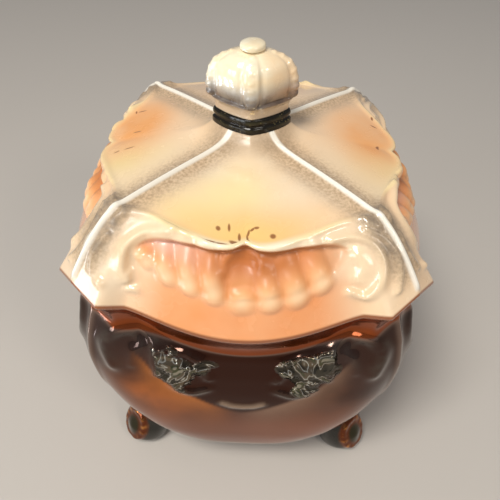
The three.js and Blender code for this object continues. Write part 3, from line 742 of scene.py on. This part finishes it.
orange_patches = ((0, 0.8, 0.0, 0.6, 0.95, 0.22), (1, 1.15, 0.18, 0.62, 0.80, 0.34),
                  (2, 1.0, 0.0, 0.5, 0.78, 0.32), (3, 1.15, -0.24, 0.62, 0.84, 0.36))
# soft yellow patches on the roof panels are painted highlights
yellow_patches = ((0, 1.0, -0.12, 0.4, 0.6, 0.24), (0, 0.7, -0.52, 0.28, 0.85, 0.2),
                  (3, 1.0, 0.38, 0.3, 0.85, 0.3), (1, 0.9, -0.3, 0.35, 0.9, 0.25))
lid = shell_mesh("lid", grid, (0, 0, apex), (0, 0, seat + hollow_rise), {
    "ridge": on_lid(1 - rise(0.65, 1.5, roof_off),
                    (1 - rise(0.5, 1.5, apron_off)) * (1 - rise(0.9, 0.97, ad))),
    "sand": on_lid(hump(roof_off, 2, 5.5) * rise(0.02, 0.1, roof_d),
                   hump(apron_off, 2.5, 4.5) * (1 - rise(0.6, 0.95, ad))),
    # dark grey beside the ridges near the lip: painted shade
    "corner": on_lid(hump(roof_off, 1.5, 3.5) * rise(0.9, 1.0, roof_d),
                     hump(apron_off, 3.2, 3.4) * (1 - rise(0.3, 0.85, ad))),
    "pale": on_lid((side_of % 2 == 1) * rise(0.2, 0.6, roof_d), no_apron),
    "yellow": on_lid(np.minimum(1, sum(sprayed(*patch) for patch in yellow_patches)), no_apron),
    "gold": on_lid(sprayed(0, 1.0, 0, 0.5, 0.92, 0.15), no_apron),
    "warm": on_lid(sum(np.minimum(1, sprayed(*patch)) for patch in orange_patches),
                   (1 - 0.5 * shell) * hump(t4, 0, 0.6) * (side_of > 0)),
    "knob_shade": on_lid(1 - rise(0.1, 0.3, roof_d), no_apron),
    "shell": on_lid(no_roof, shell),
    # darker amber high in the middle of the shell, under the lip: painted shade
    "deep": on_lid(no_roof, shell * (1 - rise(0.3, 1.0, down_shell)) * hump(t4, 0.08, 0.42)),
    "left_end": on_lid(no_roof, shell * rise(0.2, 0.6, -t4) * (1 - rise(0.3, 0.9, down_shell))),
    "right_end": on_lid(no_roof, shell * rise(0.42, 0.72, t4)),
    "soft": on_lid(0.8 * (1 - rise(0.2, 0.45, roof_d)), np.maximum(
        np.maximum(shell, crest) * rise(-0.76, -0.45, t4),
        0.9 * rise(0.45, 0.7, -t4) * (1 - rise(0.3, 0.5, ad)) * (1 - shell))),
    # paler flute crests and bright lobe tips: painted highlights
    "crest": on_lid(no_roof, crest * rise(0.15, 0.5, ad)),
    "tip": on_lid(no_roof, tip),
    "carved": on_lid(no_roof, carved * (1 - shell)),
    "lip": on_lid(rise(0.955, 1.0, roof_d) * mid_lip * blend(1.0, 0.5, side_of > 0),
                  (1 - rise(0.0, 0.03, ad)) * mid_lip),
    "lip_shine": on_lid(rise(0.95, 1.0, roof_d) * lip_glint, (1 - rise(0.0, 0.03, ad)) * lip_glint),
    "lip_line": on_lid(no_roof, hump(ad - top, 0.03, 0.022) * (1 - rise(0.3, 0.7, away))),
    "apron_glow": on_lid(
        no_roof, (1 - shell) * rise(0.3, 0.62, ad) * (1 - rise(0.42, 0.8, away))),
    "edge_line": on_lid(no_roof, rise(0.975, 1.0, ad), 1.0),
})
# places on the roof panels for the brush dabs: across and down in millimetres, and for each
# panel a depth of its own that keeps its dabs off the others
panel_half, panel_step, off_panel = 46, 100, 999
panel = lid.data.attributes.new("panel", "FLOAT_VECTOR", "POINT")
panel_places = np.zeros((len(lid.data.vertices), 3), np.float32)
panel_places[:, 2] = off_panel
panel_places[: n_roof * 4 * columns] = np.stack(np.broadcast_arrays(
    t4 * panel_half, roof_down * panel_half, side_of * panel_step), axis=-1).reshape(-1, 3)
panel.data.foreach_set("vector", panel_places.reshape(-1))
lid_lustre = glaze("cream_pearl_lustre", 0.24, 0.14, 0.0)
# gilder's brush dabs on the roof: side, across, down, half length, half width, lean in degrees
on_panel = put(lid_lustre, "ShaderNodeAttribute", {"attribute_name": "panel"}).outputs["Vector"]
dabs = None
for side, across, down, long, short, lean in (
        (0, -0.228, 0.884, 0.95, 0.7, 20), (0, -0.140, 0.868, 1.3, 0.5, 75),
        (0, 0.216, 0.926, 1.05, 0.75, 10), (0, 0.090, 0.866, 1.1, 0.42, -15),
        (0, 0.054, 0.888, 1.3, 0.36, -45), (0, 0.022, 0.930, 1.5, 0.38, -75),
        (0, 0.016, 0.975, 1.4, 0.36, 80), (0, 0.035, 0.995, 1.0, 0.32, 35),
        (0, -0.046, 0.955, 1.5, 0.50, 80), (0, -0.085, 0.983, 1.8, 0.60, 30),
        (0, -0.165, 0.994, 2.8, 0.62, 6), (0, -0.265, 0.990, 2.4, 0.38, -8),
        (3, -0.524, 0.90, 1.6, 0.35, 60), (3, -0.50, 0.95, 1.0, 0.35, -30),
        (3, -0.124, 0.782, 1.5, 0.4, 75), (3, 0.192, 0.804, 1.7, 0.4, 80),
        (3, 0.208, 0.896, 1.0, 0.35, 60), (1, 0.508, 0.97, 1.2, 0.4, 20),
        (1, 0.384, 0.92, 1.3, 0.4, -40), (1, -0.004, 0.880, 1.4, 0.6, 10),
        (2, -0.228, 0.884, 1.0, 0.75, 0), (2, 0.216, 0.926, 1.1, 0.8, 10)):
    near = put(lid_lustre, "ShaderNodeMapping", {"vector_type": "TEXTURE"}, Vector=on_panel,
               Location=(across * panel_half, down * panel_half, side * panel_step),
               Rotation=(0, 0, math.radians(lean)), Scale=(long, short, 1))
    far = put(lid_lustre, "ShaderNodeVectorMath", {"operation": "LENGTH"}, n0=near.outputs[0])
    dab = ranged(lid_lustre, far.outputs["Value"], 0.7, 1.3, 1.0, 0.0)
    dabs = dab if dabs is None else worked(lid_lustre, "MAXIMUM", dabs, dab)
skin = coats(
    lid_lustre, (*cream, 1),
    ((0.93, 0.74, 0.52), clouds(lid_lustre, 0.02, 0, 1)),
    ((0.98, 0.80, 0.55), "pale", 0.7),
    # painted highlight in yellow
    (yellow, "yellow", (0.015, 0.7, 1.0)),
    (orange, "warm", (0.02, 0.7, 1.0)),
    ((0.95, 0.64, 0.20), "gold", 0.7),
    (peach, "apron_glow", (0.02, 0.75, 1.0)),
    ((0.76, 0.29, 0.095), "shell"),
    # painted shade under the lip
    (shaded_amber, "deep"),
    (mauve, "left_end", (0.01, 0.7, 1.0)),
    ((0.62, 0.43, 0.26), "right_end", (0.006, 0.6, 1.0)),
    # painted highlights on the flute crests and lobe tips
    ((0.92, 0.46, 0.19), "crest", 0.9),
    ((0.93, 0.66, 0.40), "tip", 0.75),
    ((0.92, 0.70, 0.45), "carved", 0.8),
    ((0.95, 0.76, 0.40), "lip", 0.8),
    ((0.98, 0.92, 0.72), "lip_shine", 0.9),
    (sand, "sand", (0.0009, 0.5, 1.0, 2.0)),
    (corner_grey, "knob_shade", 0.5),
    # painted shade beside the ridges
    ((0.20, 0.16, 0.12), "corner", (0.003, 0.35, 0.8)),
    (ridge_white, "ridge"),
    ((0.46, 0.15, 0.035), "lip_line", 0.85),
    ((0.25, 0.08, 0.015), dabs, 0.88),
    (line_brown, "edge_line"))
# the sheen of the soft places is duller and their coat thinner
rough = worked(lid_lustre, "MULTIPLY_ADD", mask(lid_lustre, "soft"), 0.22,
               clouds(lid_lustre, 0.008, 0.16, 0.30))
wet = worked(lid_lustre, "MULTIPLY_ADD", mask(lid_lustre, "soft"), -0.85, 1.0)
fire(lid_lustre, skin, rough, 0.009, 0.00005)
plug(lid_lustre, wet, "Coat Weight")
lid.data.materials.append(lid_lustre)
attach(lid, "lid")
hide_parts("lid_shell")

# Flange
# Plain locating rim under the lid, turned and luted on while raw. It is glazed white, and its
# lower edge is wiped bare and fired rough.
flange_top = lid_rim - lid_edge - 0.3
# inward and down from its upper outer edge, and how bare of glaze it is there
flange_rows = ((0, 0, 0), (0, 5.2, 0), (0.25, 5.8, 0.6), (0.8, 6.0, 1), (2.2, 6.0, 1),
               (2.75, 5.8, 0.6), (3.0, 5.2, 0), (3.0, 0, 0))
flange_grid = np.stack([all_round(lambda side: edge_ring(
    t[0], mouth_corner - inset, mouth_side - inset, flange_top - drop, 1, lid_square))
    for inset, drop, _ in flange_rows])
bare = np.array([row[2] for row in flange_rows])[:, None] * np.ones((1, 4 * columns))
flange = shell_mesh("flange", flange_grid, None, None, {"bare": bare})
flange_white = glaze("flange_white", 0.3, 0.1, 0.0)
skin = coats(flange_white, (*inner_white, 1), ((0.70, 0.60, 0.46), "bare", (0.0015, 0.6, 1.0)))
fire(flange_white, skin, clouds(flange_white, 0.004, 0.2, 0.45), 0.006, 0.00006)
flange.data.materials.append(flange_white)
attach(flange, "lid")
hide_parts("lid_flange")

# Knob plinth
# Oblong four-cornered plinth of the knob with a groove round it, cast with the knob and painted
# in black lustre. Its edges carry painted highlights and its small gold specks are painted glints.
plinth_high = 5.1
plinth_rows = np.array([
    (1, 0), (1.0, 0.10), (0.995, 0.34), (0.93, 0.46), (0.93, 0.56), (0.98, 0.66), (0.98, 0.8),
    (0.95, 1)])
knob_sides = 192
knob_angle = np.linspace(0, 2 * math.pi, knob_sides, endpoint=False)


def knob_ring(wide, deep, height, power):
    square = np.abs(np.cos(knob_angle)) ** power + np.abs(np.sin(knob_angle)) ** power
    length = square ** (-1 / power)
    return np.stack([wide * length * np.cos(knob_angle), deep * length * np.sin(knob_angle),
                     np.full(knob_angle.shape, height)], axis=-1)


plinth_curve = curve_through(plinth_rows, np.linspace(1, 0, 26), 1)
plinth_grid = np.stack([
    knob_ring(w * plinth_wide, w * plinth_deep, apex + h * plinth_high, 1.4)
    for w, h in plinth_curve])
# lighter lines along the plinth's edges: painted highlights
plinth_edge_highlight = hump(plinth_curve[:, 1], 0.8, 0.14) + hump(plinth_curve[:, 1], 0.25, 0.12)
plinth = shell_mesh("plinth", plinth_grid, (0, 0, apex + plinth_high), (0, 0, apex), {
    "edge": plinth_edge_highlight[:, None] * np.ones((1, knob_sides)),
})
plinth_black = glaze("plinth_black_lustre", 0.18, 0.04, 0.0, Specular_IOR_Level=0.15,
                     Coat_IOR=1.4, Coat_Weight=0.6)
# small gold specks: painted glints
glint_specks = put(plinth_black, "ShaderNodeTexVoronoi", {"feature": "F1"},
             Vector=place_on(plinth_black), Scale=700.0).outputs["Distance"]
skin = coats(
    plinth_black, (0.007, 0.005, 0.003, 1),
    # painted highlights on the edges and painted glints in gold
    ((0.032, 0.028, 0.012), "edge", (0.003, 0.0, 1.0)),
    ((0.40, 0.32, 0.12), ranged(plinth_black, glint_specks, 0.05, 0.22, 1.0, 0.0),
     (0.006, -0.4, 0.7)))
fire(plinth_black, skin, clouds(plinth_black, 0.004, 0.12, 0.3), 0.004, 0.00008)
plinth.data.materials.append(plinth_black)
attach(plinth, "lid")
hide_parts("knob_plinth")

# Knob bud
# Four-lobed bud on a hollow neck, cast in one with a row of beads up each of its four ribs. It
# is cream pearl. Low down it is painted grey as a reflection and nearly black at its foot as
# shade, and its right side is painted warmer as a reflection.
neck_high, bud_high = 5.0, 15.4
bud_wide, bud_deep = 15.7, 11.2
neck_rows = np.array([(0.93, 0), (0.92, 0.24), (0.94, 0.5), (1.0, 0.74), (1.06, 0.93)])
bud_rows = np.array([
    (0.95, 0, 1.14), (0.98, 0.06, 1.16), (0.985, 0.22, 1.28), (0.965, 0.38, 1.4),
    (0.93, 0.54, 1.52), (0.86, 0.7, 1.64), (0.80, 0.78, 1.7), (0.71, 0.85, 1.76),
    (0.6, 0.91, 1.82), (0.45, 0.96, 1.9), (0.26, 1, 2)])
neck_base = apex + plinth_high
bud_base = neck_base + neck_high
bud_curve = curve_through(bud_rows, np.linspace(1, 0, 70), 1)
neck_curve = curve_through(neck_rows, np.linspace(0.93, 0, 16), 1)
from_axis = np.arccos(np.abs(np.cos(2 * knob_angle))) / (math.pi / 2)
rib_here = 0.065 * (1 - rise(0.17, 0.32, from_axis)) - 0.03 * hump(from_axis, 0.36, 0.1)
bud_grid = []
for w, h, power in bud_curve:
    ring = knob_ring(w * bud_wide, w * bud_deep, bud_base + h * bud_high, power)
    swell = 1 + rib_here * rise(0.0, 0.12, h) * (1 - rise(0.92, 1.0, h)) - 0.05
    bud_grid.append(ring * np.stack([swell, swell, np.ones(knob_sides)], axis=-1))
for w, h in neck_curve:
    bud_grid.append(knob_ring(w * plinth_wide, w * plinth_deep, neck_base + h * neck_high, 1.3))
bud_top = bud_base + bud_high
bud_body = shell_mesh("bud", np.stack(bud_grid), (0, 0, bud_top), (0, 0, neck_base), {})
# the line of each rib, which the beads follow, sunk a little into the bud
bead_depth = 1.9
rib_points, rib_edges = [], []
for turn in range(4):
    reach = bud_wide if turn % 2 == 0 else bud_deep
    line = curve_through(bud_rows, np.linspace(0.03, 0.96, 28), 1)
    c, s = math.cos(turn * math.pi / 2), math.sin(turn * math.pi / 2)
    profile = np.stack([line[:, 0] * reach, bud_base + line[:, 1] * bud_high], axis=-1)
    slope = np.gradient(profile, axis=0)
    slope /= np.linalg.norm(slope, axis=-1, keepdims=True)
    for k, ((out, up), (run, climb)) in enumerate(zip(profile, slope)):
        if k:
            rib_edges.append((len(rib_points) - 1, len(rib_points)))
        out, up = out - bead_depth * climb, up + bead_depth * run
        rib_points.append((c * out * mm, s * out * mm, up * mm))
rib_mesh = bpy.data.meshes.new("rib_lines")
rib_mesh.from_pydata(rib_points, rib_edges, [])
beads = bpy.data.objects.new("rib_beads", rib_mesh)
scene.collection.objects.link(beads)
tree = bpy.data.node_groups.new("beads_on_ribs", "GeometryNodeTree")
tree.interface.new_socket("Geometry", in_out="INPUT", socket_type="NodeSocketGeometry")
count_in = tree.interface.new_socket("Beads on a rib", in_out="INPUT", socket_type="NodeSocketInt")
size_in = tree.interface.new_socket("Bead radius", in_out="INPUT", socket_type="NodeSocketFloat")
finish_in = tree.interface.new_socket("Glaze", in_out="INPUT", socket_type="NodeSocketMaterial")
tree.interface.new_socket("Geometry", in_out="OUTPUT", socket_type="NodeSocketGeometry")
source = tree.nodes.new("NodeGroupInput")
result = tree.nodes.new("NodeGroupOutput")
lines = tree.nodes.new("GeometryNodeMeshToCurve")
spaced = tree.nodes.new("GeometryNodeResampleCurve")
pearl = tree.nodes.new("GeometryNodeMeshIcoSphere")
pearl.inputs["Subdivisions"].default_value = 3
tangent = tree.nodes.new("GeometryNodeInputTangent")
along = tree.nodes.new("FunctionNodeAlignRotationToVector")
along.axis = "Z"
placed = tree.nodes.new("GeometryNodeInstanceOnPoints")
placed.inputs["Scale"].default_value = (1.1, 1.1, 0.85)
real = tree.nodes.new("GeometryNodeRealizeInstances")
coated = tree.nodes.new("GeometryNodeSetMaterial")
wire = tree.links.new
wire(source.outputs["Geometry"], lines.inputs["Mesh"])
wire(lines.outputs["Curve"], spaced.inputs["Curve"])
wire(source.outputs["Beads on a rib"], spaced.inputs["Count"])
wire(source.outputs["Bead radius"], pearl.inputs["Radius"])
wire(tangent.outputs["Tangent"], along.inputs["Vector"])
wire(spaced.outputs["Curve"], placed.inputs["Points"])
wire(pearl.outputs["Mesh"], placed.inputs["Instance"])
wire(along.outputs["Rotation"], placed.inputs["Rotation"])
wire(placed.outputs["Instances"], real.inputs["Geometry"])
wire(real.outputs["Geometry"], coated.inputs["Geometry"])
wire(source.outputs["Glaze"], coated.inputs["Material"])
wire(coated.outputs["Geometry"], result.inputs["Geometry"])
bud_pearl = glaze("bud_cream_pearl", 0.2, 0.05, 0.0)
beads_on_rib, bead_radius = 7, 2.1
stringing = beads.modifiers.new("beads", "NODES")
stringing.node_group = tree
stringing[count_in.identifier] = beads_on_rib
stringing[size_in.identifier] = bead_radius * mm
stringing[finish_in.identifier] = bud_pearl
bead_mesh = bpy.data.meshes.new_from_object(
    beads.evaluated_get(bpy.context.evaluated_depsgraph_get()))
bpy.data.objects.remove(beads)
# beads and bud are melted into one skin, as the glaze does
melted = bpy.data.meshes.new("bud_and_beads")
body_points = [tuple(v.co) for v in bud_body.data.vertices]
bead_points = [tuple(v.co) for v in bead_mesh.vertices]
body_faces = [tuple(f.vertices) for f in bud_body.data.polygons]
bead_faces = [tuple(i + len(body_points) for i in f.vertices) for f in bead_mesh.polygons]
melted.from_pydata(body_points + bead_points, [], body_faces + bead_faces)
bud_body.data = melted
melt = bud_body.modifiers.new("melt", "REMESH")
melt.mode = "VOXEL"
melt.voxel_size = 0.00025
soften = bud_body.modifiers.new("soften", "SMOOTH")
soften.factor, soften.iterations = 0.5, 8
skin_mesh = bpy.data.meshes.new_from_object(
    bud_body.evaluated_get(bpy.context.evaluated_depsgraph_get()))
bud_body.modifiers.clear()
bud_body.data = skin_mesh
skin_mesh.materials.clear()
skin_mesh.materials.append(bud_pearl)
skin_mesh.shade_smooth()
place = place_on(bud_pearl)
sideways, _, height = put(bud_pearl, "ShaderNodeSeparateXYZ", {}, Vector=place).outputs


def below_height(low, high):
    """From 1 below the low height over the bud's foot, in millimetres, to 0 above the high one."""
    return ranged(bud_pearl, height, (bud_base + low) * mm, (bud_base + high) * mm, 1.0, 0.0,
                  "SMOOTHSTEP")


# the right half is painted warmer: a painted reflection
warm_reflection_side = ranged(bud_pearl, sideways, 0.0, 0.012, 0.0, 0.75, "SMOOTHSTEP")
# gold flecks on the front corner of the neck, painted glints that are also metallic
flecks = put(bud_pearl, "ShaderNodeTexVoronoi", {"feature": "F1"}, Vector=place, Scale=620.0)
from_corner = put(bud_pearl, "ShaderNodeVectorMath", {"operation": "DISTANCE"}, n0=place,
                  n1=(0.0012, -0.0098, (neck_base + 2.0) * mm))
gilt_glint_fleck = times(bud_pearl, ranged(bud_pearl, flecks.outputs["Distance"], 0.22, 0.34, 1.0, 0.0),
                   ranged(bud_pearl, from_corner.outputs["Value"], 0.0022, 0.0046, 1.0, 0.0))
skin = coats(
    bud_pearl, (0.93, 0.76, 0.50, 1),
    ((0.95, 0.86, 0.64), clouds(bud_pearl, 0.006, 0, 1)),
    ((0.98, 0.68, 0.40), warm_reflection_side, (0.008, 0.5, 1.0)),
    # low on the bud: a grey painted reflection, brown painted shade on the right, and nearly black
    # painted shade at the foot
    ((0.36, 0.34, 0.32), below_height(2.5, 9.0), (0.004, 0.8, 1.0)),
    ((0.50, 0.27, 0.13), times(bud_pearl, below_height(1.5, 7.0), warm_reflection_side)),
    ((0.09, 0.06, 0.045), below_height(0.8, 4.2), (0.004, 0.7, 1.0)),
    ((0.62, 0.47, 0.32), below_height(-1.2, -0.5)),
    ((0.95, 0.86, 0.62), gilt_glint_fleck))
fire(bud_pearl, skin, clouds(bud_pearl, 0.004, 0.14, 0.3), 0.005, 0.00006)
plug(bud_pearl, gilt_glint_fleck, "Metallic")
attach(bud_body, "lid")
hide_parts("knob_bud")

# Button
# Small flattened button that closes the casting hole on top of the bud, pressed on by hand and
# a little off round, in the same cream pearl.
button_half, button_high = 4.5, 2.7
button_rows = np.array([(0.8, 0), (0.98, 0.2), (1, 0.45), (0.95, 0.7), (0.72, 0.92), (0.4, 1)])
button_curve = curve_through(button_rows, np.linspace(1, 0, 24), 1)
wobble = 1 - 0.03 - 0.03 * np.cos(2 * knob_angle + 0.6)
button_grid = []
for w, h in button_curve:
    ring = knob_ring(w * button_half, w * button_half, bud_top + h * button_high, 2.0)
    ring[:, :2] *= wobble[:, None]
    button_grid.append(ring)
button = shell_mesh("button", np.stack(button_grid), (0, 0, bud_top + button_high),
                    (0, 0, bud_top), {})
button_cream = glaze("button_cream_pearl", 0.2, 0.05, 0.0)
skin = coats(button_cream, (0.92, 0.76, 0.50, 1),
             ((0.93, 0.84, 0.62), clouds(button_cream, 0.004, 0, 1)))
fire(button_cream, skin, clouds(button_cream, 0.003, 0.14, 0.28), 0.004, 0.00008)
button.data.materials.append(button_cream)
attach(button, "lid")
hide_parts("knob_button")
